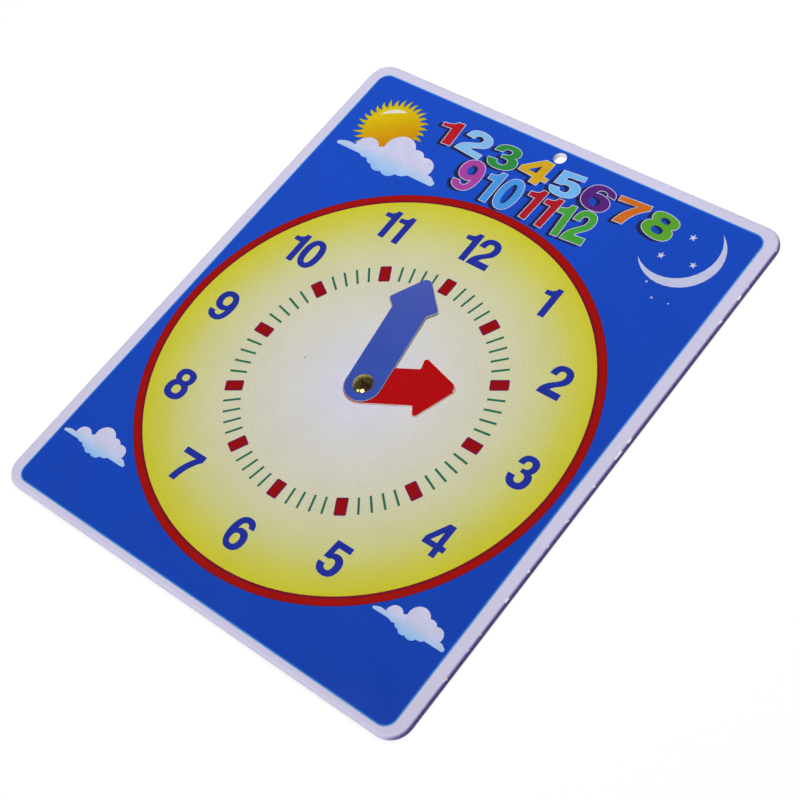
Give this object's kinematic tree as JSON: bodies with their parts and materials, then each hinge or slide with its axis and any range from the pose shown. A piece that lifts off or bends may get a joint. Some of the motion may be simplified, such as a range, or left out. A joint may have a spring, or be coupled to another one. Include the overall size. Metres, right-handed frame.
{
  "type": "teaching clock",
  "caption": "Flat printed teaching board with a round clock dial, arrow-shaped hour and minute hands that turn by hand about a central rivet, and a hanging hole at the top.",
  "frame": {"origin": "middle of the board's back, on the surface that the board lies on", "axes": "+Z out of the printed face, +Y towards twelve o'clock and the hanging hole, +X towards three o'clock"},
  "size_m": [0.25, 0.3, 0.0063],
  "materials": {
    "white_board": "satin white sheet plastic",
    "blue_print": "satin printed film",
    "yellow_print": "printed ink, pale in the middle",
    "red_print": "printed ink",
    "green_print": "printed ink",
    "white_nylon": "plain moulded",
    "white_core": "cut edge of white sheet plastic",
    "red_film": "glossy printed film",
    "blue_film": "glossy printed film",
    "rivet_brass": "polished, a little tarnished"
  },
  "bodies": {
    "board": {"backing_board": "white_board", "printed_face": "blue_print", "dial_ground": "yellow_print", "dial_ring": "red_print", "hour_marks": "red_print", "minute_ticks": "green_print", "face_washer": "white_nylon", "hand_washer": "white_nylon", "pivot_rivet": "rivet_brass", "back_washer": "rivet_brass"},
    "hour_hand": {"hour_hand": "white_core", "hour_hand_film": "red_film"},
    "minute_hand": {"minute_hand": "white_core", "minute_hand_film": "blue_film"}
  },
  "joints": [
    {"name": "hour_hand_turn", "type": "hinge", "parent": "board", "child": "hour_hand", "pos_m": [0, -0.0183, 0.0037], "axis": [0, 0, 1], "continuous": true},
    {"name": "minute_hand_turn", "type": "hinge", "parent": "board", "child": "minute_hand", "pos_m": [0, -0.0183, 0.00445], "axis": [0, 0, 1], "continuous": true}
  ]
}
